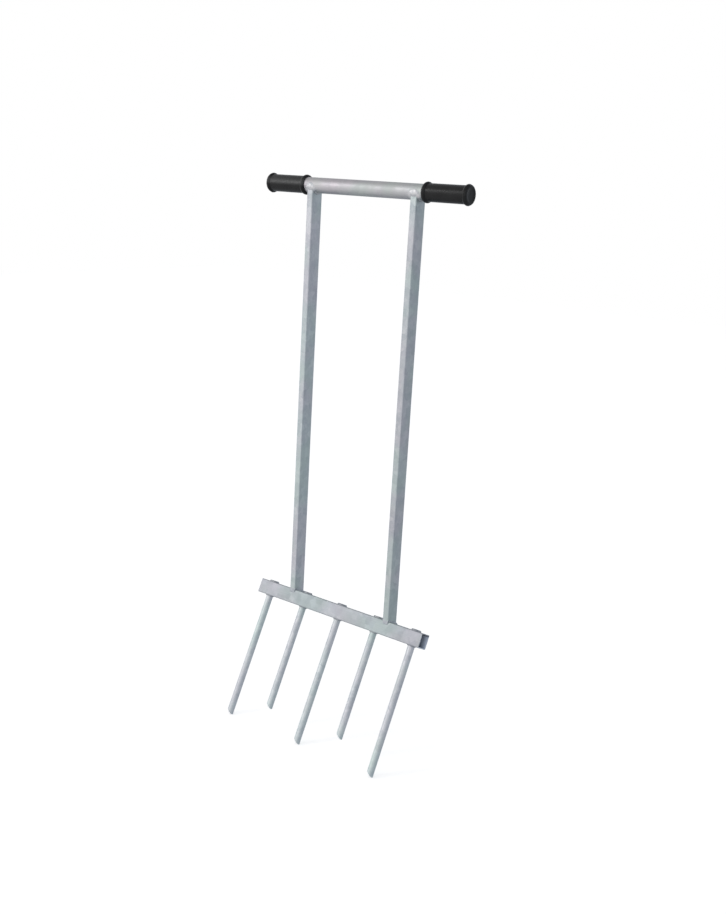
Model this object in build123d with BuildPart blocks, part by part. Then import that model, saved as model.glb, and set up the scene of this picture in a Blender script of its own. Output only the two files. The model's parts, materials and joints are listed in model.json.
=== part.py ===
"""Hollow-tine lawn corer: an all-welded, hot-dip galvanised step-on hand tool.

Frame, in millimetres: the origin is the middle of the handlebar's axis, by which the tool is held
and hung up. +Z runs up along the uprights, -Y is the front, towards which the tines lean, and +X is
the user's right when the user stands behind the tool.
"""

import os
from math import cos, radians, sin, sqrt, tan

from build123d import *

# Handlebar: round tube, which reaches into the closed ends of both grips
handlebar_diameter = 25.0
handlebar_wall = 1.5

# Grips: closed rubber sleeves with a rounded flange bead at each end
grip_length = 81.5
grip_gap = 4.5
grip_wall = 1.5
grip_end_wall = 3.0
grip_flange_height = 2.2
grip_flange_width = 8.0
grip_end_round = 2.5

# Uprights: rectangular tube, deep side front to back
upright_width = 12.0
upright_depth = 25.0
upright_wall = 1.5
upright_corner = 2.0
upright_spacing = 206.0
upright_edge_trim = 2.5

# Crossbar: square tube with open ends, leaning with the tines
crossbar_side = 25.0
crossbar_wall = 1.5
crossbar_corner = 2.0
crossbar_length = 354.0
comb_tilt = 26.0
handle_height = 717.5
foot_overhang = 2.2

# Tines: five hollow round tubes through the crossbar, long and short in turn
tine_count = 5
tine_diameter = 12.0
tine_wall = 1.5
tine_pitch = 78.7
long_tine_reach = 222.0
short_tine_reach = 186.0
tine_bevel = 36.0
tine_stub = 2.5
tine_hole_clearance = 0.15

# Welds, whose faces bulge to this share of each leg, and the galvanising vents
handlebar_weld_leg = 3.0
handlebar_weld_crown = 1.4
foot_weld_leg = 2.5
foot_weld_drop = 5.0
top_weld_leg = 2.5
bottom_weld_leg = 1.6
fillet_bulge = 0.6
vent_diameter = 6.0

# Radii and halves that follow from the sizes above
handlebar_radius = handlebar_diameter / 2
grip_radius = handlebar_radius + grip_wall
flange_radius = grip_radius + grip_flange_height
tine_radius = tine_diameter / 2
tine_bore_radius = tine_radius - tine_wall
upright_front = upright_depth / 2
half_side = crossbar_side / 2
tilt_sin = sin(radians(comb_tilt))
tilt_cos = cos(radians(comb_tilt))
tilt_slope = tan(radians(comb_tilt))
bevel_slope = tan(radians(tine_bevel))

# Places along X: each grip starts a gap outside its upright's weld
weld_end = upright_width / 2 + handlebar_weld_leg
grip_inner_end = upright_spacing / 2 + weld_end + grip_gap
grip_outer_end = grip_inner_end + grip_length
handlebar_length = 2 * (grip_outer_end - grip_end_wall)
upright_places = {"left": -upright_spacing / 2, "right": upright_spacing / 2}
tine_places = [(i - (tine_count - 1) / 2) * tine_pitch for i in range(tine_count)]
tine_reaches = [(long_tine_reach, short_tine_reach)[i % 2] for i in range(tine_count)]

# The crossbar lies under the uprights, whose front walls overhang its front top edge a little
crossbar_y = half_side * (tilt_cos - tilt_sin) + foot_overhang - upright_front
crossbar_z = -handle_height
upright_cut_length = handle_height + half_side - upright_edge_trim

# An upright's front wall ends at the trim line, or lower where the handlebar is the deeper
wall_end_drop = max(upright_edge_trim, sqrt(max(handlebar_radius**2 - upright_front**2, 0)))

# Planes: the comb plane lies in the crossbar with its normal up the tines, towards their tops
comb = Plane(origin=(0, crossbar_y, crossbar_z), x_dir=(1, 0, 0), z_dir=(0, tilt_sin, tilt_cos))
comb_top = comb.offset(half_side)
comb_section = Plane(origin=comb.origin, x_dir=comb.y_dir, z_dir=(1, 0, 0))

os.makedirs("parts", exist_ok=True)


def save(builder, label):
    """Label a finished piece and write it as its own STEP file."""
    builder.part.label = label
    export_step(builder.part, f"parts/{label}.step")


def make_handlebar_tube():
    """Round tube with a vent hole into the top of each upright."""
    with BuildPart() as handlebar_tube:
        with BuildSketch(Plane.YZ):
            Circle(handlebar_radius)
            Circle(handlebar_radius - handlebar_wall, mode=Mode.SUBTRACT)
        extrude(amount=handlebar_length / 2, both=True)
        with BuildSketch(Plane.XY):
            with Locations([(x, 0) for x in upright_places.values()]):
                Circle(vent_diameter / 2)
        extrude(amount=-handlebar_diameter, mode=Mode.SUBTRACT)
    save(handlebar_tube, "handlebar_tube")


def make_grip(side, sign):
    """Closed sleeve turned about the handlebar, with a rounded flange bead at each end."""
    inner = sign * grip_inner_end
    outer = sign * grip_outer_end
    step = sign * grip_flange_width
    end_wall = sign * grip_end_wall
    with BuildPart() as grip:
        with BuildSketch(Plane.XZ):
            with BuildLine():
                ThreePointArc(
                    (inner, grip_radius),
                    (inner + step / 2, flange_radius),
                    (inner + step, grip_radius),
                )
                Line((inner + step, grip_radius), (outer - step, grip_radius))
                ThreePointArc(
                    (outer - step, grip_radius),
                    (outer - step / 2, flange_radius),
                    (outer, grip_radius),
                )
                Polyline(
                    (outer, grip_radius),
                    (outer, 0),
                    (outer - end_wall, 0),
                    (outer - end_wall, handlebar_radius),
                    (inner, handlebar_radius),
                    (inner, grip_radius),
                )
            make_face()
            ends = vertices().filter_by(lambda v: abs(v.X - outer) < 0.01)
            fillet(ends.sort_by(Axis.Y)[-1], radius=grip_end_round)
        revolve(axis=Axis.X)
    save(grip, f"{side}_grip")


def upright_blank(x):
    """The outside of one upright, mitred to the crossbar, before it is saddled and hollowed."""
    with BuildPart() as blank:
        with BuildSketch(Plane.XY.offset(-upright_edge_trim)):
            with Locations((x, 0)):
                RectangleRounded(upright_width, upright_depth, upright_corner)
        extrude(amount=-upright_cut_length)
        split(bisect_by=comb_top, keep=Keep.TOP)
    return blank.part


def make_upright(side, x):
    """Rectangular tube, saddled to the handlebar on top and mitred to the crossbar below."""
    with BuildPart() as upright:
        add(upright_blank(x))
        with BuildSketch(Plane.XY):
            with Locations((x, 0)):
                RectangleRounded(
                    upright_width - 2 * upright_wall,
                    upright_depth - 2 * upright_wall,
                    upright_corner - upright_wall,
                )
        extrude(amount=-handle_height - crossbar_side, mode=Mode.SUBTRACT)
        with BuildSketch(Plane.YZ):
            Circle(handlebar_radius)
        extrude(amount=handlebar_length / 2, both=True, mode=Mode.SUBTRACT)
    save(upright, f"{side}_upright")


def make_crossbar():
    """Square tube with a hole through both walls for each tine and a vent under each upright."""
    with BuildPart() as crossbar:
        with BuildSketch(comb_section):
            RectangleRounded(crossbar_side, crossbar_side, crossbar_corner)
            RectangleRounded(
                crossbar_side - 2 * crossbar_wall,
                crossbar_side - 2 * crossbar_wall,
                crossbar_corner - crossbar_wall,
                mode=Mode.SUBTRACT,
            )
        extrude(amount=crossbar_length / 2, both=True)
        with BuildSketch(comb):
            with Locations([(x, 0) for x in tine_places]):
                Circle(tine_radius + tine_hole_clearance)
        extrude(amount=crossbar_side, both=True, mode=Mode.SUBTRACT)
        with BuildSketch(comb):
            with Locations([(x, 0) for x in upright_places.values()]):
                Circle(vent_diameter / 2)
        extrude(amount=crossbar_side, mode=Mode.SUBTRACT)
    save(crossbar, "crossbar")


def make_tine(number, x, reach):
    """Hollow tine, open at its top and cut off on a bevel whose long side is on the right."""
    top = half_side + tine_stub
    tip = half_side + reach
    bevel_middle = comb.from_local_coords((x, 0, bevel_slope * tine_radius - tip))
    bevel_inward = comb.z_dir + comb.x_dir * bevel_slope
    with BuildPart() as tine:
        with BuildSketch(comb.offset(top)):
            with Locations((x, 0)):
                Circle(tine_radius)
                Circle(tine_bore_radius, mode=Mode.SUBTRACT)
        extrude(amount=-(top + tip))
        split(bisect_by=Plane(origin=bevel_middle, z_dir=bevel_inward), keep=Keep.TOP)
    save(tine, f"tine_{number}")


def make_tine_weld(label, x, face, leg, height):
    """Fillet bead round a tine: it stands on a face of the crossbar, leg wide and height tall."""
    foot = comb.from_local_coords((x, 0, face))
    bulge = fillet_bulge
    with BuildPart() as tine_weld:
        with BuildSketch(Plane(origin=foot, x_dir=comb.x_dir, z_dir=-comb.y_dir)):
            with BuildLine():
                Line((tine_radius, 0), (tine_radius + leg, 0))
                ThreePointArc(
                    (tine_radius + leg, 0),
                    (tine_radius + leg * bulge, height * bulge),
                    (tine_radius, height),
                )
                Line((tine_radius, height), (tine_radius, 0))
            make_face()
        revolve(axis=Axis(foot, comb.z_dir))
    save(tine_weld, label)


def make_handlebar_weld(side, x):
    """Bead round an upright's top: along the saddle on both sides and over the flush walls."""
    leg = handlebar_weld_leg
    root = handlebar_radius - handlebar_wall / 2
    crown = upright_front + handlebar_weld_crown
    with BuildPart() as handlebar_weld:
        for sign in (-1, 1):
            face = x + sign * upright_width / 2
            with BuildSketch(Plane.XZ):
                with BuildLine():
                    Polyline(
                        (face + sign * leg, handlebar_radius),
                        (face + sign * leg, root),
                        (face, root),
                        (face, handlebar_radius + leg),
                    )
                    ThreePointArc(
                        (face, handlebar_radius + leg),
                        (face + sign * leg * fillet_bulge, handlebar_radius + leg * fillet_bulge),
                        (face + sign * leg, handlebar_radius),
                    )
                make_face()
            revolve(axis=Axis.X)
        with BuildSketch(Plane.YZ.offset(x)):
            with Locations((leg - crown, -wall_end_drop), (crown - leg, -wall_end_drop)):
                Circle(leg)
        extrude(amount=weld_end, both=True)
        with BuildSketch(Plane.XY.offset(leg)):
            with Locations((x, 0)):
                RectangleRounded(2 * weld_end, 2 * crown, leg)
        extrude(amount=-handlebar_diameter, mode=Mode.INTERSECT)
        with BuildSketch(Plane.YZ):
            Circle(handlebar_radius)
        extrude(amount=handlebar_length / 2, both=True, mode=Mode.SUBTRACT)
        add(upright_blank(x), mode=Mode.SUBTRACT)
    save(handlebar_weld, f"{side}_handlebar_weld")


def make_foot_weld(side, x):
    """Bead round an upright's foot: along both sides, down over the front edge and at the back."""
    half_width = upright_width / 2
    reach = half_width + foot_weld_leg
    middle = -(crossbar_y + half_side * tilt_sin) / tilt_cos
    front = middle - upright_front / tilt_cos - tilt_slope * foot_weld_leg
    back = middle + upright_front / tilt_cos - tilt_slope * foot_weld_leg
    crest = half_side + foot_weld_leg
    with BuildPart() as foot_weld:
        with BuildSketch(comb_section):
            with BuildLine():
                Polyline(
                    (-half_side, half_side - foot_weld_drop),
                    (front, crest),
                    (back, crest),
                    (half_side, half_side - crossbar_corner),
                    close=True,
                )
            make_face()
        extrude(amount=crossbar_length / 2, both=True)
        with BuildSketch(Plane(origin=comb_top.origin, x_dir=comb.x_dir, z_dir=-comb.y_dir)):
            with BuildLine():
                Polyline(
                    (x - reach, -foot_weld_drop),
                    (x - reach, 0),
                    (x - half_width, foot_weld_leg),
                    (x + half_width, foot_weld_leg),
                    (x + reach, 0),
                    (x + reach, -foot_weld_drop),
                    close=True,
                )
            make_face()
        extrude(amount=2 * crossbar_side, both=True, mode=Mode.INTERSECT)
        with BuildSketch(comb_section):
            RectangleRounded(crossbar_side, crossbar_side, crossbar_corner)
        extrude(amount=crossbar_length / 2, both=True, mode=Mode.SUBTRACT)
        add(upright_blank(x), mode=Mode.SUBTRACT)
    save(foot_weld, f"{side}_foot_weld")


make_handlebar_tube()
make_crossbar()
for side, x in upright_places.items():
    make_grip(side, -1 if x < 0 else 1)
    make_upright(side, x)
    make_handlebar_weld(side, x)
    make_foot_weld(side, x)
for number, (x, reach) in enumerate(zip(tine_places, tine_reaches), start=1):
    make_tine(number, x, reach)
    make_tine_weld(f"tine_{number}_top_weld", x, half_side, top_weld_leg, tine_stub)
    make_tine_weld(f"tine_{number}_bottom_weld", x, -half_side, bottom_weld_leg, -bottom_weld_leg)
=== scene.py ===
"""Looks of a hollow-tine lawn corer: hot-dip galvanised steel, weld beads and moulded rubber grips."""

import json
from math import acos, atan2, cos, hypot, pi, radians, sin, tan

import bpy
from mathutils import Matrix, Vector

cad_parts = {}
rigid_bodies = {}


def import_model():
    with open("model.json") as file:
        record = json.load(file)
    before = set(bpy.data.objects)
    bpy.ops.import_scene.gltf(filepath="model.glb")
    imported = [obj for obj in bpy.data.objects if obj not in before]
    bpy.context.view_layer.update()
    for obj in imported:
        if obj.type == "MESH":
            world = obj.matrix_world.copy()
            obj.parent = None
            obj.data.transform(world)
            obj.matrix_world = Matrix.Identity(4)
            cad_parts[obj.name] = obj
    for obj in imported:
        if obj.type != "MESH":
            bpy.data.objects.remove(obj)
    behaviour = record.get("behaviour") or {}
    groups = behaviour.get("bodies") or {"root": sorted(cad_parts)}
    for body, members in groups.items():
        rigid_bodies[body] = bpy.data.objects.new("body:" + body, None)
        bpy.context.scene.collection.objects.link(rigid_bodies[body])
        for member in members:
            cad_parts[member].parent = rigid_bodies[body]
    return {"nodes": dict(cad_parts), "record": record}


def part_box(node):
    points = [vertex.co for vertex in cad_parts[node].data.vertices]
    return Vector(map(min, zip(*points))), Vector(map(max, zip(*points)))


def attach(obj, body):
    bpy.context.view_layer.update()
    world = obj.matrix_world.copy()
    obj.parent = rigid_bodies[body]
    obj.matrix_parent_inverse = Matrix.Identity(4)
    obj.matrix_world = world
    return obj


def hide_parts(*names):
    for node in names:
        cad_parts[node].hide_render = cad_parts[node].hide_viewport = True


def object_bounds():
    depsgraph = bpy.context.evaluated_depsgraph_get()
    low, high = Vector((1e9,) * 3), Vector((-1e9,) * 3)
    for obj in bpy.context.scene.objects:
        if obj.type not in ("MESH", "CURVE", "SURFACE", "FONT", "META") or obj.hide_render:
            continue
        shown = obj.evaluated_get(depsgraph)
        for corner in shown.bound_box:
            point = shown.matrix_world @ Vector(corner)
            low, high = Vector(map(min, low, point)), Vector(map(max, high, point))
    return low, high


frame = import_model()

bl_info = {
    "name": "Lawn corer",
    "version": (1, 0, 0),
    "blender": (4, 5, 0),
    "location": "View3D > Sidebar > Lawn corer",
    "description": "Dresses the lawn corer's frame with zinc, weld beads and grips, and sets its stage",
    "category": "Object",
}

CAD_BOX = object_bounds()
MM = 0.001
NODES = frame["nodes"]
MOUNTS = {mount["name"]: mount for mount in frame["record"]["mounts"]}
SIDES = ("left", "right")
TINES = ("tine_1", "tine_2", "tine_3", "tine_4", "tine_5")


# ---- Places and sizes that the frame gives ------------------------------------------------------


def mount_place(name):
    """Place of one of the record's mounts, and the way it faces."""
    return Vector(MOUNTS[name]["pos_m"]), Vector(MOUNTS[name]["axis"]).normalized()


def box_middle(node):
    """Middle of a CAD node's box."""
    low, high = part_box(node)
    return (low + high) / 2


def box_size(node):
    """Extents of a CAD node's box."""
    low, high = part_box(node)
    return high - low


HANDLEBAR_RADIUS = box_size("handlebar_tube").y / 2
HANDLEBAR_HALF = box_size("handlebar_tube").x / 2
UPRIGHT_WIDTH = box_size("left_upright").x
UPRIGHT_DEPTH = box_size("left_upright").y
UPRIGHT_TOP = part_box("left_upright")[1].z
FLANGE_RADIUS = box_size("left_grip").y / 2
TINE_RADIUS = box_size("tine_1").x / 2
CROSSBAR_LENGTH = box_size("crossbar").x

# The comb frame: X along the crossbar, Y through it to the back and Z up the tines
BACK_PLACE, COMB_BACK = mount_place("crossbar_back")
TOP_PLACE, COMB_UP = mount_place("foot_rest")
HALF_SIDE = (BACK_PLACE - TOP_PLACE).dot(COMB_BACK)
COMB_TILT = acos(COMB_UP.z)
COMB = Matrix.Translation(BACK_PLACE - COMB_BACK * HALF_SIDE) @ Matrix.Rotation(-COMB_TILT, 4, "X")


# ---- Sizes and colours that a user would change -------------------------------------------------


class CorerGrips(bpy.types.PropertyGroup):
    """Sizes of the rubber sleeves."""

    sleeve_wall: bpy.props.FloatProperty(
        name="Sleeve wall",
        description="Thickness of the rubber between the flange beads",
        default=1.5 * MM,
        unit="LENGTH",
    )
    flange_width: bpy.props.FloatProperty(
        name="Flange width",
        description="Length of each flange bead along the handlebar",
        default=8.0 * MM,
        unit="LENGTH",
    )
    end_round: bpy.props.FloatProperty(
        name="End round",
        description="Radius between the outer flange and the closed end",
        default=3.4 * MM,
        unit="LENGTH",
    )
    end_dish: bpy.props.FloatProperty(
        name="End dish",
        description="Depth of the shallow dish moulded into the closed end",
        default=0.8 * MM,
        unit="LENGTH",
    )
    lip_round: bpy.props.FloatProperty(
        name="Lip round",
        description="How far the sleeve's open lip is eased",
        default=0.4 * MM,
        unit="LENGTH",
    )
    shoulder_drop: bpy.props.FloatProperty(
        name="Shoulder drop",
        description="How far the closed end's rounding starts below the outer flange's crest",
        default=0.55 * MM,
        unit="LENGTH",
    )
    rim_width: bpy.props.FloatProperty(
        name="Rim width",
        description="Width of each of the three steps from the closed end's rim down to its dish",
        default=1.25 * MM,
        unit="LENGTH",
    )
    segments: bpy.props.IntProperty(
        name="Segments",
        description="Faces round each sleeve",
        default=112,
    )


class CorerWelds(bpy.types.PropertyGroup):
    """Sizes of the weld beads."""

    ripple_pitch: bpy.props.FloatProperty(
        name="Ripple pitch",
        description="Length of one ripple along a bead",
        default=1.9 * MM,
        unit="LENGTH",
    )
    ripple_height: bpy.props.FloatProperty(
        name="Ripple height",
        description="How far each ripple stands above the hollow beside it",
        default=0.3 * MM,
        unit="LENGTH",
    )
    unevenness: bpy.props.FloatProperty(
        name="Unevenness",
        description="How far a bead swells and thins along its run",
        default=0.5 * MM,
        unit="LENGTH",
    )
    mesh_size: bpy.props.FloatProperty(
        name="Mesh size",
        description="Edge length of the welds' meshes where their runs are fused",
        default=0.45 * MM,
        unit="LENGTH",
    )


class CorerFinish(bpy.types.PropertyGroup):
    """Colours of the zinc and the rubber."""

    zinc_pale: bpy.props.FloatVectorProperty(
        name="Pale zinc",
        description="Colour of the brightest zinc crystals",
        subtype="COLOR",
        default=(0.70, 0.71, 0.74),
    )
    zinc_deep: bpy.props.FloatVectorProperty(
        name="Deep zinc",
        description="Colour of the darkest zinc crystals",
        subtype="COLOR",
        default=(0.53, 0.56, 0.60),
    )
    zinc_bloom: bpy.props.FloatVectorProperty(
        name="Zinc bloom",
        description="Colour of the thin matt bloom on new zinc",
        subtype="COLOR",
        default=(0.66, 0.70, 0.69),
    )
    warm_cast: bpy.props.FloatVectorProperty(
        name="Warm cast",
        description="Tint of the zinc where the bath left it slightly lavender",
        subtype="COLOR",
        default=(1.0, 0.962, 1.0),
    )
    cool_cast: bpy.props.FloatVectorProperty(
        name="Cool cast",
        description="Tint of the zinc where the bath left it slightly blue-green",
        subtype="COLOR",
        default=(0.95, 1.0, 0.995),
    )
    crystal_size: bpy.props.FloatProperty(
        name="Crystal size",
        description="Width of one zinc crystal",
        default=11.0 * MM,
        unit="LENGTH",
    )
    handlebar_tone: bpy.props.FloatVectorProperty(
        name="Handlebar tone",
        description="Tint of the zinc on the handlebar",
        subtype="COLOR",
        default=(0.985, 0.935, 0.90),
    )
    left_upright_tone: bpy.props.FloatVectorProperty(
        name="Left upright tone",
        description="Tint of the zinc on the left upright",
        subtype="COLOR",
        default=(1.04, 1.05, 1.02),
    )
    right_upright_tone: bpy.props.FloatVectorProperty(
        name="Right upright tone",
        description="Tint of the zinc on the right upright",
        subtype="COLOR",
        default=(0.97, 0.98, 0.95),
    )
    crossbar_tone: bpy.props.FloatVectorProperty(
        name="Crossbar tone",
        description="Tint of the zinc on the crossbar",
        subtype="COLOR",
        default=(0.87, 0.88, 0.865),
    )
    tine_tone: bpy.props.FloatVectorProperty(
        name="Tine tone",
        description="Tint of the zinc on the tines",
        subtype="COLOR",
        default=(1.20, 1.22, 1.17),
    )
    handlebar_weld_tone: bpy.props.FloatVectorProperty(
        name="Handlebar weld tone",
        description="Tint of the zinc on the handlebar welds",
        subtype="COLOR",
        default=(1.0, 0.97, 0.94),
    )
    foot_weld_tone: bpy.props.FloatVectorProperty(
        name="Foot weld tone",
        description="Tint of the zinc on the foot welds",
        subtype="COLOR",
        default=(0.92, 0.93, 0.93),
    )
    tine_weld_tone: bpy.props.FloatVectorProperty(
        name="Tine weld tone",
        description="Tint of the zinc on the tine welds",
        subtype="COLOR",
        default=(0.90, 0.89, 0.88),
    )
    handlebar_spangle: bpy.props.FloatProperty(
        name="Handlebar spangle",
        description="How strongly the zinc crystals differ on the handlebar",
        default=0.45,
        subtype="FACTOR",
    )
    crossbar_spangle: bpy.props.FloatProperty(
        name="Crossbar spangle",
        description="How strongly the zinc crystals differ on the crossbar",
        default=0.8,
        subtype="FACTOR",
    )
    rubber: bpy.props.FloatVectorProperty(
        name="Rubber",
        description="Colour of the grips",
        subtype="COLOR",
        default=(0.006, 0.006, 0.0063),
    )
    # Painted highlight: the paler grey of the band painted high on the front of the grips
    rubber_highlight: bpy.props.FloatVectorProperty(
        name="Rubber highlight",
        description="Colour of the grips in their painted highlight band",
        subtype="COLOR",
        default=(0.06, 0.06, 0.06),
    )


class CorerStage(bpy.types.PropertyGroup):
    """View and light."""

    azimuth: bpy.props.FloatProperty(
        name="Azimuth",
        description="Turn of the camera round the corer, from straight in front towards its right",
        default=radians(36.646),
        subtype="ANGLE",
    )
    elevation: bpy.props.FloatProperty(
        name="Elevation",
        description="How steeply the camera looks down",
        default=radians(14.116),
        subtype="ANGLE",
    )
    roll: bpy.props.FloatProperty(
        name="Roll",
        description="Tilt of the camera about its own line of sight",
        default=radians(3.354),
        subtype="ANGLE",
    )
    distance: bpy.props.FloatProperty(
        name="Distance",
        description="From the camera to the point it aims at",
        default=1.817,
        unit="LENGTH",
    )
    aim_offset: bpy.props.FloatVectorProperty(
        name="Aim offset",
        description="From the middle of the corer to the point that the camera aims at",
        subtype="TRANSLATION",
        unit="LENGTH",
        default=(0.0361, 0.0355, 0.0263),
    )
    lens: bpy.props.FloatProperty(
        name="Lens",
        description="Focal length in millimetres",
        default=43.34,
    )
    floor_size: bpy.props.FloatProperty(
        name="Floor size",
        description="Width of the pale floor",
        default=14.0,
        unit="LENGTH",
    )
    floor_tint: bpy.props.FloatVectorProperty(
        name="Floor tint",
        description="Colour of the pale floor",
        subtype="COLOR",
        default=(0.90, 0.885, 0.87),
    )
    floor_glow: bpy.props.FloatProperty(
        name="Floor glow",
        description="How much light the floor gives off itself, so that it looks white all over",
        default=0.54,
    )
    box_place: bpy.props.FloatVectorProperty(
        name="Soft box place",
        description="Place of the soft box, high on the front left",
        subtype="TRANSLATION",
        unit="LENGTH",
        default=(-1.6, -1.8, 0.9),
    )
    box_width: bpy.props.FloatProperty(
        name="Soft box width",
        description="Width of the soft box",
        default=0.34,
        unit="LENGTH",
    )
    box_height: bpy.props.FloatProperty(
        name="Soft box height",
        description="Height of the soft box",
        default=1.1,
        unit="LENGTH",
    )
    box_power: bpy.props.FloatProperty(
        name="Soft box power",
        description="Power of the soft box",
        default=7.5,
        unit="POWER",
    )
    lit_side: bpy.props.FloatVectorProperty(
        name="Lit side",
        description="The way from the corer to the brightest part of the room",
        subtype="XYZ",
        default=(-0.62, -0.70, 0.35),
    )
    front_light: bpy.props.FloatVectorProperty(
        name="Front light",
        description="Colour of the room on the lit side",
        subtype="COLOR",
        default=(0.88, 0.885, 0.90),
    )
    back_light: bpy.props.FloatVectorProperty(
        name="Back light",
        description="Colour of the room on the far side",
        subtype="COLOR",
        default=(0.45, 0.485, 0.53),
    )


SETTINGS = {
    "corer_grips": CorerGrips,
    "corer_welds": CorerWelds,
    "corer_finish": CorerFinish,
    "corer_stage": CorerStage,
}


# ---- Shader expressions -------------------------------------------------------------------------

# Places of a Mix node's two colours among its inputs, and of its colour among its outputs
MIX_FIRST = 6
MIX_SECOND = 7
MIX_RESULT = 2


class Term:
    """A shader socket that Python's operators work on, each by adding its Math node."""

    def __init__(self, shader, socket):
        self.shader = shader
        self.socket = socket

    def maths(self, operation, *others):
        """Result of one Math operation on this socket and others, or numbers, after it."""
        inputs = dict(enumerate((self, *others)))
        return self.shader.node("ShaderNodeMath", {"operation": operation}, inputs)

    def __add__(self, other):
        return self.maths("ADD", other)

    def __sub__(self, other):
        return self.maths("SUBTRACT", other)

    def __rsub__(self, other):
        inputs = {0: other, 1: self}
        return self.shader.node("ShaderNodeMath", {"operation": "SUBTRACT"}, inputs)

    def __mul__(self, other):
        return self.maths("MULTIPLY", other)

    __radd__ = __add__
    __rmul__ = __mul__


class Shader:
    """A node tree that is written as expressions."""

    def __init__(self, tree, surface):
        self.tree = tree
        self.surface = surface

    def node(self, kind, settings=None, inputs=None, output=0):
        """Adds a node, sets it up, feeds its sockets, and returns one of its outputs."""
        made = self.tree.nodes.new(kind)
        for name, value in (settings or {}).items():
            setattr(made, name, value)
        for name, value in (inputs or {}).items():
            self.feed(made.inputs[name], value)
        return Term(self, made.outputs[output])

    def feed(self, socket, value):
        """Links a term to a socket, or sets the socket's own value."""
        if isinstance(value, Term):
            self.tree.links.new(value.socket, socket)
        else:
            socket.default_value = value

    def finish(self, **inputs):
        """Feeds the surface's own sockets, whose names are written with _ for a space."""
        for name, value in inputs.items():
            self.feed(self.surface.inputs[name.replace("_", " ")], value)

    def mix(self, share, first, second):
        """Colour between two colours."""
        first, second = (c if isinstance(c, Term) else (*c, 1.0) for c in (first, second))
        inputs = {0: share, MIX_FIRST: first, MIX_SECOND: second}
        return self.node("ShaderNodeMix", {"data_type": "RGBA"}, inputs, MIX_RESULT)

    def scale(self, colour, amount):
        """Colour or vector times a number."""
        inputs = {"Vector": colour, "Scale": amount}
        return self.node("ShaderNodeVectorMath", {"operation": "SCALE"}, inputs)

    def tint(self, colour, by):
        """Colour times a colour."""
        return self.node("ShaderNodeVectorMath", {"operation": "MULTIPLY"}, {0: colour, 1: by})

    def shift(self, place, offset):
        """Sum of two vectors."""
        return self.node("ShaderNodeVectorMath", {"operation": "ADD"}, {0: place, 1: offset})

    def along(self, place, direction):
        """How far a place lies along a direction."""
        inputs = {0: place, 1: tuple(direction)}
        return self.node("ShaderNodeVectorMath", {"operation": "DOT_PRODUCT"}, inputs, "Value")

    def ramp(self, value, start, end, low=0.0, high=1.0):
        """Eases from low to high as value goes from start to end."""
        inputs = {"Value": value, "From Min": start, "From Max": end, "To Min": low, "To Max": high}
        return self.node("ShaderNodeMapRange", {"interpolation_type": "SMOOTHSTEP"}, inputs)

    def noise(self, place, size, detail=2.0, output="Fac"):
        """Cloudy noise whose blots are about this size."""
        inputs = {"Vector": place, "Scale": 1 / size, "Detail": detail}
        return self.node("ShaderNodeTexNoise", None, inputs, output)

    def cells(self, place, size, output="Color"):
        """Random tint or distance to the middle of cells of about this size."""
        return self.node("ShaderNodeTexVoronoi", None, {"Vector": place, "Scale": 1 / size}, output)

    def part(self, colour, channel):
        """One channel of a colour."""
        return self.node("ShaderNodeSeparateColor", None, {"Color": colour}, channel)


def new_material(name):
    """A material whose Principled shader is ready to feed."""
    material = bpy.data.materials.new(name)
    material.use_nodes = True
    return material, Shader(material.node_tree, material.node_tree.nodes["Principled BSDF"])


# ---- Finishes -----------------------------------------------------------------------------------

# Zinc on tubes: how far the crystals' borders wander, the small crystals beside the large ones, the
# bloom's clouds, the drift of hue and the width of the draw marks
BORDER_WANDER = 5 * MM
SMALL_CRYSTALS = 0.36
BLOOM_CLOUD = 38 * MM
HUE_CLOUD = 75 * MM
MARK_WIDTH = 1.6 * MM
# How far places are squeezed along the grain before the marks are read, which draws the marks out
GRAIN_SQUEEZE = 0.96
# Shares of a crystal's shine that the large and the small crystals give
LARGE_SHINE = 0.62
SMALL_SHINE = 0.38
# How far the bloom hides the crystals, and how far it does so on single crystals
BLOOM_COVER = 0.45
CRYSTAL_BLOOM = 0.12
# Size of the zinc's finest pits, and the depth of its relief
PIT_SIZE = 2.2 * MM
ZINC_RELIEF = 0.25 * MM
# Roughness before the crystals, bloom and marks dull it: zinc on tubes and over welds, and rubber
ZINC_ROUGHNESS = 0.48
BEAD_ROUGHNESS = 0.46
RUBBER_ROUGHNESS = 0.21
# The crossbar's inside: colour of its oxide, how deep the painted light reaches from the mouth and how
# far down from the top face the painted shadow of the top wall reaches
OXIDE = (0.76, 0.85, 1.0)
PAINTED_LIGHT_REACH = 17 * MM
PAINTED_SHADOW_REACH = 4.5 * MM
# Depths in the crossbar's wall between which oxide gives way to bright zinc
OXIDE_DEPTH = 1.2 * MM
BRIGHT_DEPTH = 0.7 * MM
# Zinc over a weld: width of the dross's blots and of the grit, and the depth of its relief
DROSS_SIZE = 6 * MM
GRIT_SIZE = 0.7 * MM
BEAD_RELIEF = 0.2 * MM


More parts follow.
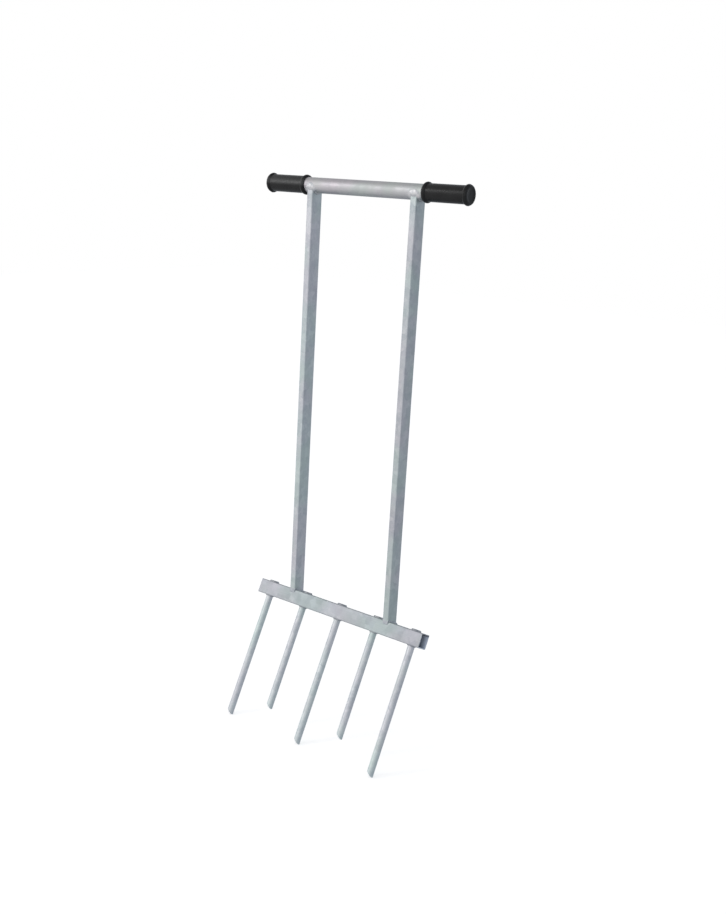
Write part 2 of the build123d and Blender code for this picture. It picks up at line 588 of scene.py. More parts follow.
def galvanised(name, grain, tone, spangle=1.0):
    """Zinc crystals under a thin bloom, with faint draw marks along the grain; spangle is how
    strongly the crystals differ. Returns the material and its shader."""
    look = bpy.context.scene.corer_finish
    material, s = new_material(name)
    place = s.node("ShaderNodeTexCoord", output="Object")
    wander = s.shift(s.noise(place, BORDER_WANDER, 3.0, "Color"), (-0.5, -0.5, -0.5))
    ragged = s.shift(place, s.scale(wander, BORDER_WANDER))
    crystal = s.cells(ragged, look.crystal_size)
    small = s.cells(ragged, look.crystal_size * SMALL_CRYSTALS)
    bloom = s.ramp(s.noise(place, BLOOM_CLOUD, 4.0), 0.38, 0.68)
    stretch = Vector((1, 1, 1)) - Vector([GRAIN_SQUEEZE * abs(c) for c in grain])
    marks = s.noise(s.tint(place, tuple(stretch)), MARK_WIDTH, 3.0)
    large_shine = s.part(crystal, "Red") * (LARGE_SHINE * spangle)
    shine = large_shine + s.part(small, "Green") * (SMALL_SHINE * spangle)
    zinc = s.mix(shine + 0.5 * (1 - spangle), look.zinc_deep, look.zinc_pale)
    cover = bloom * BLOOM_COVER + s.part(crystal, "Blue") * CRYSTAL_BLOOM
    colour = s.mix(cover, zinc, look.zinc_bloom)
    hue = s.mix(s.ramp(s.noise(place, HUE_CLOUD), 0.35, 0.65), look.warm_cast, look.cool_cast)
    strength = s.ramp(marks, 0.3, 0.7, 0.965, 1.03)
    dull = s.part(crystal, "Green") * (0.14 * spangle) + bloom * 0.08 + marks * 0.08
    edge = s.cells(ragged, look.crystal_size, "Distance")
    skin = s.noise(place, PIT_SIZE, 4.0) * 0.5 + marks * 0.3 + edge * 0.5
    bump = {"Strength": 0.12, "Distance": ZINC_RELIEF, "Height": skin}
    s.finish(
        Base_Color=s.tint(s.tint(s.scale(colour, strength), hue), tone),
        Roughness=dull + (ZINC_ROUGHNESS - 0.07 * spangle),
        Normal=s.node("ShaderNodeBump", None, bump),
        Metallic=1.0,
    )
    return material, s


def paint_oxide_and_shade_inside(s):
    """Dull zinc oxide on the crossbar's inner walls, with painted light and shade: brighter near the
    mouth, darker further in, and a painted shadow just under the top wall.
    """
    place = s.node("ShaderNodeTexCoord", output="Object")
    seen = s.shift(place, tuple(-COMB.translation))
    up = s.along(seen, COMB_UP)
    off_axis = s.along(seen, COMB_BACK).maths("ABSOLUTE").maths("MAXIMUM", up.maths("ABSOLUTE"))
    outside = s.ramp(off_axis, HALF_SIDE - OXIDE_DEPTH, HALF_SIDE - BRIGHT_DEPTH)
    mouth = CROSSBAR_LENGTH / 2
    reach = s.along(seen, (1, 0, 0)).maths("ABSOLUTE")
    # Painted light: the oxide is painted bright near the open ends and darker further in, where less
    # light reaches
    light = s.ramp(reach, mouth - PAINTED_LIGHT_REACH, mouth - 1 * MM, 0.14, 0.92)
    # Painted shadow: the oxide is painted darker just under the top wall, which shades it
    shade = s.ramp(up, HALF_SIDE - PAINTED_SHADOW_REACH, HALF_SIDE - 1.8 * MM, 1.0, 0.3)
    stains = s.ramp(s.noise(place, 7 * MM, 3.0), 0.3, 0.7, 0.86, 1.0)
    metal = Term(s, s.surface.inputs["Base Color"].links[0].from_socket)
    oxide = s.scale(OXIDE, light * shade * stains)
    s.finish(Base_Color=s.mix(outside, oxide, metal), Metallic=outside)


def zinc_bead(name, tone):
    """Zinc over a weld: duller and rougher than on the tube, with darker dross in places."""
    look = bpy.context.scene.corer_finish
    material, s = new_material(name)
    place = s.node("ShaderNodeTexCoord", output="Object")
    blots = s.ramp(s.noise(place, DROSS_SIZE, 4.0), 0.35, 0.7)
    grit = s.noise(place, GRIT_SIZE, 3.0)
    zinc = s.mix(blots, look.zinc_deep, look.zinc_pale)
    bump = {"Strength": 0.35, "Distance": BEAD_RELIEF, "Height": grit + blots * 0.6}
    s.finish(
        Base_Color=s.tint(s.scale(zinc, s.ramp(grit, 0.3, 0.7, 0.93, 1.02)), tone),
        Roughness=grit * 0.15 + BEAD_ROUGHNESS - blots * 0.1,
        Normal=s.node("ShaderNodeBump", None, bump),
        Metallic=1.0,
    )
    return material


# Rubber: the moulded stipple's size and depth, the clouds of wear, the specks of dust, and how much
# paler than the rubber the dust is
STIPPLE_SIZE = 0.55 * MM
STIPPLE_DEPTH = 0.12 * MM
WEAR_CLOUD = 16 * MM
DUST_SIZE = 3 * MM
DUST_PALER = 0.006


def grip_rubber(name):
    """Black moulded rubber with a fine stippled skin and specks of dust, and a painted highlight: a
    paler grey band high on the front of each grip, stronger on the left grip than on the right."""
    look = bpy.context.scene.corer_finish
    material, s = new_material(name)
    place = s.node("ShaderNodeTexCoord", output="Object")
    stipple = s.cells(place, STIPPLE_SIZE, "Distance")
    worn = s.ramp(s.noise(place, WEAR_CLOUD, 4.0), 0.35, 0.7)
    dust = s.noise(place, DUST_SIZE, 5.0)
    # Painted highlight: a paler band high on the front of each grip, fading towards the right grip and
    # broken up by the dust
    height = s.along(place, (0, 0, 1 / FLANGE_RADIUS))
    band = s.ramp(height, -0.2, 0.15) * (1 - s.ramp(height, 0.3, 0.85))
    front = s.ramp(s.along(place, (0, -1 / FLANGE_RADIUS, 0)), 0.0, 0.5)
    side = s.ramp(s.along(place, (1 / HANDLEBAR_HALF, 0, 0)), -0.6, 0.6, 1.0, 0.15)
    greyed = band * front * side * s.ramp(dust, 0.25, 0.6, 0.55, 1.0)
    dusty = tuple(c + DUST_PALER for c in look.rubber)
    bump = {"Strength": 0.22, "Distance": STIPPLE_DEPTH, "Height": stipple}
    s.finish(
        Base_Color=s.mix(greyed, s.mix(worn * dust, look.rubber, dusty), look.rubber_highlight),
        Roughness=worn * 0.08 + dust * 0.08 + RUBBER_ROUGHNESS,
        Normal=s.node("ShaderNodeBump", None, bump),
        Specular_IOR_Level=0.25,
    )
    return material


# ---- Modelling helpers --------------------------------------------------------------------------

# Edges shorter than this are leftovers of a cut
CRUMB = 0.004 * MM
# Faces that meet at less than this angle are shaded as one surface
SMOOTH_ANGLE = radians(40)


def start(add, **size_and_place):
    """Adds one primitive with nothing else selected, and returns it."""
    bpy.ops.object.select_all(action="DESELECT")
    add(**size_and_place)
    return bpy.context.object


def choose(*pieces):
    """Selects these pieces alone; the last one is active."""
    bpy.ops.object.select_all(action="DESELECT")
    for piece in pieces:
        piece.select_set(True)
    bpy.context.view_layer.objects.active = pieces[-1]


def pick(piece, wanted, kind="VERT"):
    """In edit mode, selects the vertices or faces whose middle passes the test."""
    bpy.ops.mesh.select_mode(type=kind)
    bpy.ops.mesh.select_all(action="DESELECT")
    bpy.ops.object.mode_set(mode="OBJECT")
    mesh = piece.data
    for element in mesh.vertices if kind == "VERT" else mesh.polygons:
        element.select = wanted(element.co if kind == "VERT" else element.center)
    bpy.ops.object.mode_set(mode="EDIT")


def settle(piece, matrix=None):
    """Moves a piece by a matrix, then puts its place into its mesh and its object at the origin."""
    choose(piece)
    if matrix is not None:
        piece.matrix_world = matrix @ piece.matrix_world
    bpy.ops.object.transform_apply(location=True, rotation=True, scale=True)


def modify(piece, kind, **settings):
    """Adds one modifier and applies it."""
    choose(piece)
    modifier = piece.modifiers.new(kind.title(), kind)
    for name, value in settings.items():
        setattr(modifier, name, value)
    bpy.ops.object.modifier_apply(modifier=modifier.name)


def copy_of(piece, name):
    """Copy with a mesh of its own."""
    choose(piece)
    bpy.ops.object.duplicate(linked=False)
    made = bpy.context.object
    made.name = name
    return made


def remove(*pieces):
    """Deletes pieces that were only used for shaping."""
    choose(*pieces)
    bpy.ops.object.delete()


def cut(piece, *cutters):
    """Cuts a piece where other solids stand, deletes those solids, and keeps the part of the piece
    that reaches furthest forward, without slivers or crumbs."""
    for cutter in cutters:
        modify(piece, "BOOLEAN", operation="DIFFERENCE", object=cutter, solver="EXACT")
    remove(*cutters)
    choose(piece)
    bpy.ops.object.mode_set(mode="EDIT")
    bpy.ops.mesh.select_all(action="SELECT")
    bpy.ops.mesh.remove_doubles(threshold=CRUMB)
    bpy.ops.mesh.dissolve_degenerate(threshold=CRUMB)
    bpy.ops.object.mode_set(mode="OBJECT")
    front = min(vertex.co.y for vertex in piece.data.vertices)
    bpy.ops.object.mode_set(mode="EDIT")
    pick(piece, lambda co: co.y <= front)
    bpy.ops.mesh.select_linked()
    bpy.ops.mesh.select_all(action="INVERT")
    bpy.ops.mesh.delete(type="VERT")
    bpy.ops.object.mode_set(mode="OBJECT")


def finish_piece(piece, name, material, slot, *nodes):
    """Names a finished piece, gives it its material, and sets it in for its CAD nodes."""
    choose(piece)
    bpy.ops.object.shade_smooth_by_angle(angle=SMOOTH_ANGLE)
    piece.name = name
    piece.data.name = name
    piece.data.materials.clear()
    piece.data.materials.append(material)
    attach(piece, "root")
    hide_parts(*nodes)


def dress(material, *nodes):
    """Gives CAD nodes a better material."""
    for node in nodes:
        NODES[node].material_slots[0].material = material


# ---- Grips --------------------------------------------------------------------------------------

# Rings along a flange bead, along the sleeve between the beads, and round the closed end
BEAD_RINGS = 8
BODY_RINGS = 10
END_RINGS = 6
# Power of the sine that a flange bead's section follows; below 1 it is fuller than the sine
BEAD_FULLNESS = 0.8
# Where on its quarter circle the end's rounding starts
END_START = radians(15)
# Radius of the last ring before a closed end's pole
CORE_RADIUS = 4 * MM
# Rings nearer to each other than this are the two sides of one seam
SEAM = 0.01 * MM


def turn(piece_name, stations, segments):
    """Lathes a skin about the handlebar's axis through rings of (place, radius); a last radius of
    0 closes it."""
    place, radius = stations[0]
    piece = start(
        bpy.ops.mesh.primitive_circle_add,
        vertices=segments,
        radius=radius,
        location=(place, 0, 0),
        rotation=(0, pi / 2, 0),
    )
    piece.name = piece_name
    settle(piece)
    bpy.ops.object.mode_set(mode="EDIT")
    bpy.ops.mesh.select_all(action="SELECT")
    for next_place, next_radius in stations[1:]:
        bpy.ops.mesh.extrude_edges_move()
        bpy.ops.transform.translate(value=(next_place - place, 0, 0))
        if next_radius > 0:
            grow = next_radius / radius
            bpy.ops.transform.resize(value=(1, grow, grow), center_override=(next_place, 0, 0))
        else:
            bpy.ops.mesh.merge(type="CENTER")
        place, radius = next_place, next_radius
    bpy.ops.object.mode_set(mode="OBJECT")
    return piece


def bead_rings(start_x, end_x, base, height):
    """Rings over a flange bead that rises from base by height."""
    rings = []
    for step in range(BEAD_RINGS + 1):
        share = step / BEAD_RINGS
        rise = sin(pi * share) ** BEAD_FULLNESS
        rings.append((start_x + (end_x - start_x) * share, base + height * rise))
    return rings


def make_grip():
    """Right sleeve: a flange bead at each end, a rounded closed end and a blind bore."""
    sizes = bpy.context.scene.corer_grips
    low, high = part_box("right_grip")
    inner, outer = low.x, high.x
    inner_bead_end = inner + sizes.flange_width
    outer_bead_start = outer - sizes.flange_width
    bore = HANDLEBAR_RADIUS
    body = bore + sizes.sleeve_wall
    height = FLANGE_RADIUS - body
    skin = [(inner, bore), (inner, body - sizes.lip_round)]
    skin += bead_rings(inner, inner_bead_end, body, height)[1:]
    span = outer_bead_start - inner_bead_end
    skin += [(inner_bead_end + span * i / BODY_RINGS, body) for i in range(1, BODY_RINGS)]
    rounded = sizes.end_round
    outer_bead = bead_rings(outer_bead_start, outer, body, height)
    skin += [ring for ring in outer_bead if outer - ring[0] > rounded]
    shoulder = FLANGE_RADIUS - sizes.shoulder_drop
    for i in range(END_RINGS + 1):
        angle = END_START + (pi / 2 - END_START) * i / END_RINGS
        ring = (outer - rounded * (1 - sin(angle)), shoulder - rounded * (1 - cos(angle)))
        skin.append(ring)
    rim = shoulder - rounded
    floor = outer - sizes.end_dish
    slope = outer - 0.6 * sizes.end_dish
    step = sizes.rim_width
    skin += [(outer, rim - step), (slope, rim - 2 * step), (floor, rim - 3 * step)]
    skin += [(floor, CORE_RADIUS), (floor, 0)]
    cavity = [(inner, bore), (inner + span / 2, bore), (HANDLEBAR_HALF, bore)]
    cavity += [(HANDLEBAR_HALF, CORE_RADIUS), (HANDLEBAR_HALF, 0)]
    sleeve = turn("right_grip_sleeve", skin, sizes.segments)
    lining = turn("right_grip_lining", cavity, sizes.segments)
    choose(lining, sleeve)
    bpy.ops.object.join()
    bpy.ops.object.mode_set(mode="EDIT")
    bpy.ops.mesh.select_all(action="SELECT")
    bpy.ops.mesh.remove_doubles(threshold=SEAM)
    bpy.ops.mesh.normals_make_consistent(inside=False)
    bpy.ops.object.mode_set(mode="OBJECT")
    return sleeve


class CORER_OT_grips(bpy.types.Operator):
    """Turn one rubber sleeve, copy it, and set both in for the plain ones"""

    bl_idname = "corer.grips"
    bl_label = "Rubber grips"

    def execute(self, context):
        rubber = grip_rubber("Black grip rubber")
        sleeve = make_grip()
        other = copy_of(sleeve, "left_grip_sleeve")
        settle(other, Matrix.Rotation(pi, 4, "Z"))
        finish_piece(sleeve, "right_grip_sleeve", rubber, "grip_rubber", "right_grip")
        finish_piece(other, "left_grip_sleeve", rubber, "grip_rubber", "left_grip")
        return {"FINISHED"}


# ---- Welds --------------------------------------------------------------------------------------

# Outside corner radius of the square and rectangular tubes
TUBE_CORNER = 2 * MM
# Spare length of a cutting solid, so that it passes right through a weld
SPARE = 40 * MM
# Facets round a cutting tine, a cutting handlebar and a tube's corner
TINE_FACETS = 96
HANDLEBAR_FACETS = 128
CORNER_FACETS = 6
# Leg of a weld whose ripples have their full height
FULL_LEG = 2.5 * MM
# How far a ripple bows forward at the edges of its bead, in ripples
RIPPLE_BOW = 0.24
# Turn from one tine's ring to the next, so that their ripples differ
RING_TURN = radians(67)
# Power of the sine that a ripple's section follows; below 1 its crest is broad and its foot sharp
RIPPLE_FULLNESS = 0.55
# Mesh steps along one ripple of a ring and round the section of a bead
RIPPLE_STEPS = 6
SECTION_STEPS = 20
# Width of the blots that a bead swells in
SWELL_SIZE = 5 * MM
# Rounds of smoothing that blend a handlebar bead and a foot bead
HANDLEBAR_BLEND = 12
FOOT_BLEND = 14
# Height of the ripples on those beads, as a share of the full height
HANDLEBAR_RIPPLE = 0.6
FOOT_RIPPLE = 0.5
# How far a foot bead's ripples lean, in ripples for each metre of height
FOOT_LEAN = 0.12 / MM


def scallop(phase):
    """Height of a ripple at a place along the bead, counted in ripples."""
    share = phase % 1.0
    return sin(pi * share) ** RIPPLE_FULLNESS if share > 0 else 0.0


def ripple(piece, phase_at, share):
    """Raises ripples along a bead, to a share of their full height; phase_at counts the ripples up
    to a place."""
    sizes = bpy.context.scene.corer_welds
    group = piece.vertex_groups.new(name="ripple")
    for vertex in piece.data.vertices:
        group.add([vertex.index], scallop(phase_at(vertex.co)), "REPLACE")
    height = sizes.ripple_height * share
    modify(piece, "DISPLACE", vertex_group="ripple", strength=height, mid_level=0.5)
    piece.vertex_groups.clear()


def swell(piece):
    """Lets a bead swell and thin unevenly along its run."""
    clouds = bpy.data.textures.get("bead swell") or bpy.data.textures.new("bead swell", "CLOUDS")
    clouds.noise_scale = SWELL_SIZE
    height = bpy.context.scene.corer_welds.unevenness
    modify(piece, "DISPLACE", texture=clouds, texture_coords="GLOBAL", strength=height, mid_level=0.5)


def fuse(piece, rounds):
    """Fuses overlapping runs into one skin and softens where they meet."""
    size = bpy.context.scene.corer_welds.mesh_size
    modify(piece, "REMESH", mode="VOXEL", voxel_size=size)
    modify(piece, "SMOOTH", factor=0.5, iterations=rounds)


def rounded_bar(size, place):
    """Rectangular bar along Z with a tube's rounded long edges, for cutting."""
    bar = start(bpy.ops.mesh.primitive_cube_add, size=1, scale=size, location=place)
    settle(bar)
    bpy.ops.object.mode_set(mode="EDIT")
    bpy.ops.mesh.select_mode(type="EDGE")
    bpy.ops.mesh.select_all(action="DESELECT")
    bpy.ops.object.mode_set(mode="OBJECT")
    points = bar.data.vertices
    for edge in bar.data.edges:
        first, last = (points[i].co for i in edge.vertices)
        edge.select = abs(first.z - last.z) > size[2] / 2
    bpy.ops.object.mode_set(mode="EDIT")
    bpy.ops.mesh.bevel(offset=TUBE_CORNER, segments=CORNER_FACETS)
    bpy.ops.object.mode_set(mode="OBJECT")
    return bar


def crossbar_cutter():
    """The crossbar's outside."""
    side = 2 * HALF_SIDE
    bar = rounded_bar((side, side, CROSSBAR_LENGTH), (0, 0, 0))
    settle(bar, COMB @ Matrix.Rotation(pi / 2, 4, "Y"))
    return bar


def upright_cutter(side):
    """One upright's outside, mitred on the crossbar."""
    low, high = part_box(side + "_upright")
    middle = (low + high) / 2
    height = high.z - low.z + SPARE
    place = (middle.x, 0, high.z - height / 2)
    post = rounded_bar((UPRIGHT_WIDTH, UPRIGHT_DEPTH, height), place)
    bpy.ops.object.mode_set(mode="EDIT")
    bpy.ops.mesh.select_all(action="SELECT")
    bpy.ops.mesh.bisect(
        plane_co=TOP_PLACE, plane_no=COMB_UP, use_fill=True, clear_inner=True, threshold=1e-7
    )
    bpy.ops.object.mode_set(mode="OBJECT")
    return post


def tine_cutter(node):
    """One tine's outside, right through the crossbar."""
    place = Vector((box_middle(node).x, 0, 0))
    rod = start(
        bpy.ops.mesh.primitive_cylinder_add,
        vertices=TINE_FACETS,
        radius=TINE_RADIUS,
        depth=2 * HALF_SIDE + SPARE,
        location=place,
    )
    settle(rod, COMB)
    return rod


def handlebar_cutter():
    """The handlebar's outside."""
    rod = start(
        bpy.ops.mesh.primitive_cylinder_add,
        vertices=HANDLEBAR_FACETS,
        radius=HANDLEBAR_RADIUS,
        depth=2 * HANDLEBAR_HALF,
        rotation=(0, pi / 2, 0),
    )
    settle(rod)
    return rod


def ring_bead(leg):
    """Rippled ring about a tine, standing on the plane Z = 0 of the comb frame."""
    sizes = bpy.context.scene.corer_welds
    # The ring's middle stands a little above the face and outside the tine
    rise = 0.24 * leg
    section = leg - rise
    major = TINE_RADIUS + rise
    count = round(2 * pi * (TINE_RADIUS + leg / 2) / sizes.ripple_pitch)
    ring = start(
        bpy.ops.mesh.primitive_torus_add,
        major_radius=major,
        minor_radius=section,
        major_segments=count * RIPPLE_STEPS,
        minor_segments=SECTION_STEPS,
        location=(0, 0, rise),
    )
    settle(ring)

    def phase_at(co):
        lean = (hypot(co.x, co.y) - major) / section
        return atan2(co.y, co.x) / (2 * pi) * count + RIPPLE_BOW * lean * lean

    ripple(ring, phase_at, leg / FULL_LEG)
    return ring


def lay_tine_welds(end, way, material):
    """Lays the ring beads at one face of the crossbar; way is 1 on top and -1 underneath."""
    leg = (box_size(f"tine_1_{end}_weld").x - 2 * TINE_RADIUS) / 2
    model = ring_bead(leg)
    facing = Matrix.Identity(4) if way > 0 else Matrix.Rotation(pi, 4, "X")
    for number, tine in enumerate(TINES):
        node = f"{tine}_{end}_weld"
        bead = copy_of(model, node)
        spun = Matrix.Rotation(number * RING_TURN, 4, "Z")
        shift = Matrix.Translation((box_middle(tine).x, 0, way * HALF_SIDE))
        settle(bead, COMB @ shift @ facing @ spun)
        swell(bead)
        cut(bead, tine_cutter(tine), crossbar_cutter())
        finish_piece(bead, node + "_bead", material, "galvanised_weld", node)
    remove(model)


class CORER_OT_tine_welds(bpy.types.Operator):
    """Lay the ring beads round the tines, above and below the crossbar"""

    bl_idname = "corer.tine_welds"
    bl_label = "Tine welds"

    def execute(self, context):
        zinc = zinc_bead("Zinc on tine welds", context.scene.corer_finish.tine_weld_tone)
        lay_tine_welds("top", 1, zinc)
        lay_tine_welds("bottom", -1, zinc)
        return {"FINISHED"}


def saddle_run(sign, leg):
    """Lower part of a ring along one side of a saddle, a little flattened in front and behind."""
    inset = 0.2 * leg
    radius = HANDLEBAR_RADIUS + 0.1 * leg
    section = 0.72 * leg
    flatten = 0.88
    run = start(
        bpy.ops.mesh.primitive_torus_add,
        major_radius=radius,
        minor_radius=section,
        major_segments=96,
        minor_segments=SECTION_STEPS,
        location=(sign * (UPRIGHT_WIDTH / 2 + inset), 0, 0),
        rotation=(0, pi / 2, 0),
    )
    settle(run)
    bpy.ops.object.mode_set(mode="EDIT")
    bpy.ops.mesh.select_all(action="SELECT")
    bpy.ops.transform.resize(value=(1, flatten, 1), center_override=(0, 0, 0))
    end = (0, 0, UPRIGHT_TOP + inset)
    bpy.ops.mesh.bisect(plane_co=end, plane_no=(0, 0, 1), use_fill=True, clear_outer=True)
    bpy.ops.object.mode_set(mode="OBJECT")
    return run


def wall_mound(sign, leg, crown):
    """Low mound where a flush wall of the upright meets the handlebar."""
    half_width = UPRIGHT_WIDTH / 2 + 3.2 * leg
    half_height = 2.9 * leg
    depth = 1.4 * leg
    rise = 0.55 * crown
    mound = start(
        bpy.ops.mesh.primitive_uv_sphere_add,
        segments=64,
        ring_count=32,
        radius=1,
        scale=(half_width, depth, half_height),
        location=(0, sign * (HANDLEBAR_RADIUS + rise - depth), UPRIGHT_TOP),
    )
    settle(mound)
    return mound


def make_handlebar_bead():
    """Bead along both sides of an upright's saddle, joined by a mound over each flush wall, for an
    upright at X = 0."""
    low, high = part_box("right_handlebar_weld")
    leg = (high.x - low.x - UPRIGHT_WIDTH) / 2
    crown = high.y - HANDLEBAR_RADIUS
    runs = [saddle_run(sign, leg) for sign in (-1, 1)]
    mounds = [wall_mound(sign, leg, crown) for sign in (-1, 1)]
    choose(*runs, *mounds)
    bpy.ops.object.join()
    bead = bpy.context.object
    fuse(bead, HANDLEBAR_BLEND)
    pitch = bpy.context.scene.corer_welds.ripple_pitch
    count = round(2 * pi * HANDLEBAR_RADIUS / pitch)

    def phase_at(co):
        if abs(co.x) < UPRIGHT_WIDTH / 2:
            return co.x / pitch + RIPPLE_BOW * ((co.z - UPRIGHT_TOP) / leg) ** 2
        return atan2(co.z, co.y) / (2 * pi) * count

    ripple(bead, phase_at, HANDLEBAR_RIPPLE)
    return bead


class CORER_OT_handlebar_welds(bpy.types.Operator):
    """Lay the beads that hold the uprights to the handlebar"""

    bl_idname = "corer.handlebar_welds"
    bl_label = "Handlebar welds"

    def execute(self, context):
        tone = context.scene.corer_finish.handlebar_weld_tone
        zinc = zinc_bead("Zinc on handlebar welds", tone)
        model = make_handlebar_bead()
        for side in SIDES:
            node = side + "_handlebar_weld"
            bead = copy_of(model, node)
            settle(bead, Matrix.Translation((box_middle(side + "_upright").x, 0, 0)))
            swell(bead)
            cut(bead, handlebar_cutter(), upright_cutter(side))
            finish_piece(bead, node + "_bead", zinc, "galvanised_weld", node)
        remove(model)
        return {"FINISHED"}


def foot_skirt(leg, seat, half_width, half_depth):
    """Band along both sides of an upright's foot and round its back, leaning in to the walls."""
    front = -HALF_SIDE - 0.15 * leg
    back = seat + half_depth + 0.45 * leg
    skirt = start(
        bpy.ops.mesh.primitive_cube_add,
        size=1,
        scale=(2 * (half_width + leg), back - front, leg),
        location=(0, (front + back) / 2, HALF_SIDE + leg / 2),
    )
    settle(skirt)
    bpy.ops.object.mode_set(mode="EDIT")
    pick(skirt, lambda co: co.z > HALF_SIDE + leg / 2, "FACE")
    crest = (half_width / (half_width + leg), 1, 1)
    bpy.ops.transform.resize(value=crest, center_override=(0, seat, HALF_SIDE + leg))
    bpy.ops.transform.translate(value=(0, -tan(COMB_TILT) * leg, 0))
    bpy.ops.object.mode_set(mode="OBJECT")
    return skirt


def foot_apron(leg, overhang, half_width):
    """Wedge that runs down over the crossbar's front edge from the upright's overhanging front."""
    drop = 2.6 * leg
    top = 0.4 * leg
    taper = (0.75, 0.1, 1)
    apron = start(
        bpy.ops.mesh.primitive_cube_add,
        size=1,
        scale=(2 * half_width, 2 * overhang + 0.3 * leg, drop + top),
        location=(0, -HALF_SIDE, HALF_SIDE + (top - drop) / 2),
    )
    settle(apron)
    bpy.ops.object.mode_set(mode="EDIT")
    pick(apron, lambda co: co.z < HALF_SIDE)
    foot = (0, -HALF_SIDE, HALF_SIDE - drop)
    bpy.ops.transform.resize(value=taper, center_override=foot)
    bpy.ops.object.mode_set(mode="OBJECT")
    return apron


def make_foot_bead():
    """Skirt and apron of an upright at X = 0, fused and rippled, in the comb frame."""
    leg = (box_size("right_foot_weld").x - UPRIGHT_WIDTH) / 2
    half_width = UPRIGHT_WIDTH / 2
    half_depth = UPRIGHT_DEPTH / 2 / cos(COMB_TILT)
    seat = -TOP_PLACE.y / cos(COMB_TILT)
    overhang = half_depth - seat - HALF_SIDE
    choose(foot_apron(leg, overhang, half_width), foot_skirt(leg, seat, half_width, half_depth))
    bpy.ops.object.join()
    bead = bpy.context.object
    fuse(bead, FOOT_BLEND)
    pitch = bpy.context.scene.corer_welds.ripple_pitch

    def phase_at(co):
        run = co.x if abs(co.x) < half_width - 1 * MM else co.y
        return run / pitch + FOOT_LEAN * (co.z - HALF_SIDE)

    ripple(bead, phase_at, FOOT_RIPPLE)
    return bead


class CORER_OT_foot_welds(bpy.types.Operator):
    """Lay the beads that hold the uprights to the crossbar"""

    bl_idname = "corer.foot_welds"
    bl_label = "Foot welds"

    def execute(self, context):
        zinc = zinc_bead("Zinc on foot welds", context.scene.corer_finish.foot_weld_tone)
        model = make_foot_bead()
        for side in SIDES:
            node = side + "_foot_weld"
            bead = copy_of(model, node)
            place = Matrix.Translation((box_middle(side + "_upright").x, 0, 0))
            settle(bead, COMB @ place)
            swell(bead)
            cut(bead, crossbar_cutter(), upright_cutter(side))
            finish_piece(bead, node + "_bead", zinc, "galvanised_weld", node)
        remove(model)
        return {"FINISHED"}


# ---- Finish on the CAD tubes --------------------------------------------------------------------


class CORER_OT_tubes(bpy.types.Operator):
    """Galvanise the handlebar, the uprights, the crossbar and the tines"""

    bl_idname = "corer.tubes"
    bl_label = "Galvanised tubes"

    def execute(self, context):
        look = context.scene.corer_finish
        across, up = (1, 0, 0), (0, 0, 1)
        handlebar, _ = galvanised(
            "Zinc on handlebar", across, look.handlebar_tone, look.handlebar_spangle
        )
        left_post, _ = galvanised("Zinc on left upright", up, look.left_upright_tone)
        right_post, _ = galvanised("Zinc on right upright", up, look.right_upright_tone)
        crossbar, crossbar_shader = galvanised(
            "Zinc on crossbar", across, look.crossbar_tone, look.crossbar_spangle
        )
        tines, _ = galvanised("Zinc on tines", COMB_UP, look.tine_tone)
        paint_oxide_and_shade_inside(crossbar_shader)
        dress(handlebar, "handlebar_tube")
        dress(left_post, "left_upright")
        dress(right_post, "right_upright")
        dress(crossbar, "crossbar")
        dress(tines, *TINES)
        return {"FINISHED"}


# ---- Stage --------------------------------------------------------------------------------------


def make_camera(stage):
    """Camera that aims near the middle of the corer."""
    low, high = CAD_BOX
    aim = (low + high) / 2 + Vector(stage.aim_offset)
    turned = Matrix.Rotation(stage.azimuth, 4, "Z") @ Matrix.Rotation(pi / 2 - stage.elevation, 4, "X")
    rolled = turned @ Matrix.Rotation(stage.roll, 4, "Z")
    camera = start(bpy.ops.object.camera_add)
    camera.matrix_world = Matrix.Translation(aim) @ rolled @ Matrix.Translation((0, 0, stage.distance))
    camera.data.lens = stage.lens
    camera.data.clip_end = 100
    bpy.context.scene.camera = camera


def make_floor(stage):
    """Pale floor under the tips of the long tines."""
    low, high = CAD_BOX
    middle = (low + high) / 2
    floor = start(
        bpy.ops.mesh.primitive_plane_add,
        size=stage.floor_size,
        location=(middle.x, middle.y, low.z),
    )
    floor.name = "floor"
    settle(floor)
    material, s = new_material("White studio floor")
    s.finish(
        Base_Color=(*stage.floor_tint, 1),
        Roughness=0.9,
        Emission_Color=(1, 1, 1, 1),
        Emission_Strength=stage.floor_glow,
    )
    floor.data.materials.append(material)
    floor.visible_glossy = False


def make_room(stage):
    """Room light: bright on the lit side, dimmer and cooler behind, and plain white to the eye."""
    world = bpy.data.worlds.new("Studio room")
    bpy.context.scene.world = world
    world.use_nodes = True
    s = Shader(world.node_tree, world.node_tree.nodes["World Output"])
    way = s.node("ShaderNodeTexCoord", output="Generated")
    share = s.ramp(s.along(way, Vector(stage.lit_side).normalized()), -0.35, 0.75)
    height = s.along(way, (0, 0, 1))
    below = s.ramp(height, -0.95, -0.2, 0.74, 1.0)
    above = s.ramp(height, 0.3, 0.95, 1.0, 0.6)
    room = s.scale(s.mix(share, stage.back_light, stage.front_light), below * above)
    seen = s.node("ShaderNodeLightPath", output="Is Camera Ray")
    colour = s.mix(seen, room, (1.0, 1.0, 1.0))
    s.finish(Surface=s.node("ShaderNodeBackground", None, {"Color": colour, "Strength": 1.0}))


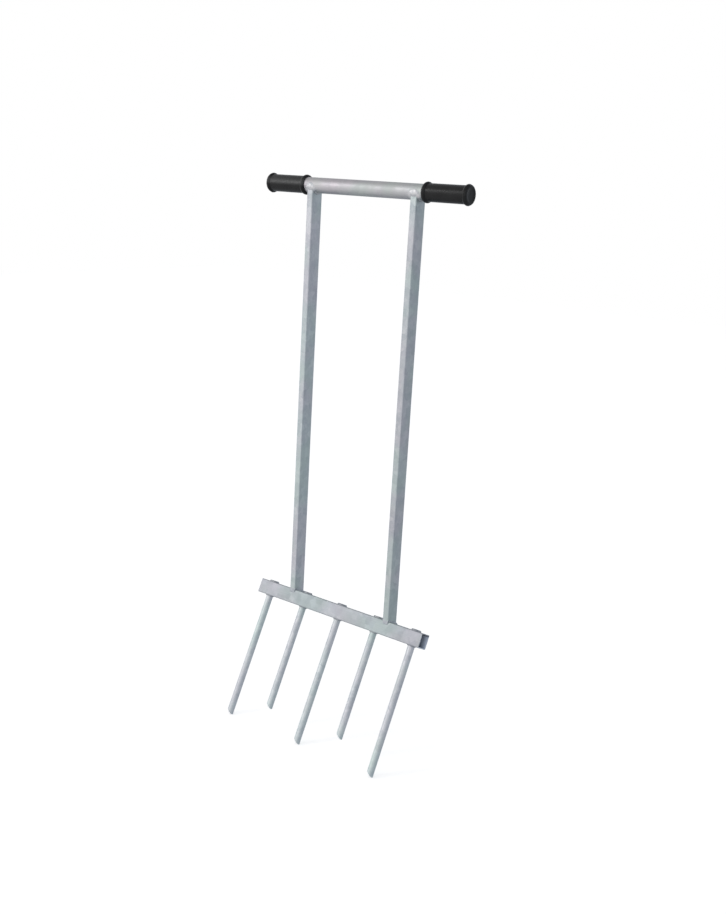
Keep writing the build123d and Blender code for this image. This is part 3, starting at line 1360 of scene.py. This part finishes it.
def make_soft_box(stage):
    """Soft box that faces the middle of the handlebar."""
    place = Vector(stage.box_place)
    light = start(bpy.ops.object.light_add, type="AREA", location=place)
    light.name = "front soft box"
    light.rotation_euler = (-place).to_track_quat("-Z", "Y").to_euler()
    light.data.shape = "RECTANGLE"
    light.data.size = stage.box_width
    light.data.size_y = stage.box_height
    light.data.energy = stage.box_power


class CORER_OT_stage(bpy.types.Operator):
    """Set the camera, the pale floor and the soft light"""

    bl_idname = "corer.stage"
    bl_label = "Stage"

    def execute(self, context):
        stage = context.scene.corer_stage
        make_camera(stage)
        make_floor(stage)
        make_room(stage)
        make_soft_box(stage)
        context.scene.view_settings.view_transform = "Standard"
        return {"FINISHED"}


# ---- Add-on -------------------------------------------------------------------------------------

STEPS = (
    CORER_OT_tubes,
    CORER_OT_grips,
    CORER_OT_handlebar_welds,
    CORER_OT_foot_welds,
    CORER_OT_tine_welds,
    CORER_OT_stage,
)


class VIEW3D_PT_corer(bpy.types.Panel):
    """Lists the steps that dress the corer, and the values they use"""

    bl_label = "Lawn corer"
    bl_space_type = "VIEW_3D"
    bl_region_type = "UI"
    bl_category = "Lawn corer"

    def draw(self, context):
        for step in STEPS:
            self.layout.operator(step.bl_idname)
        for name, settings in SETTINGS.items():
            box = self.layout.box()
            for value in settings.__annotations__:
                box.prop(getattr(context.scene, name), value)


def register():
    """Registers the settings, the steps and the panel."""
    for settings in SETTINGS.values():
        bpy.utils.register_class(settings)
    for name, settings in SETTINGS.items():
        setattr(bpy.types.Scene, name, bpy.props.PointerProperty(type=settings))
    for step in STEPS:
        bpy.utils.register_class(step)
    bpy.utils.register_class(VIEW3D_PT_corer)


def unregister():
    """Takes them all out again."""
    bpy.utils.unregister_class(VIEW3D_PT_corer)
    for step in reversed(STEPS):
        bpy.utils.unregister_class(step)
    for name, settings in SETTINGS.items():
        delattr(bpy.types.Scene, name)
        bpy.utils.unregister_class(settings)


def main():
    """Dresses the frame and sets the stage."""
    register()
    bpy.ops.corer.tubes()
    bpy.ops.corer.grips()
    bpy.ops.corer.handlebar_welds()
    bpy.ops.corer.foot_welds()
    bpy.ops.corer.tine_welds()
    bpy.ops.corer.stage()


if __name__ == "__main__":
    main()
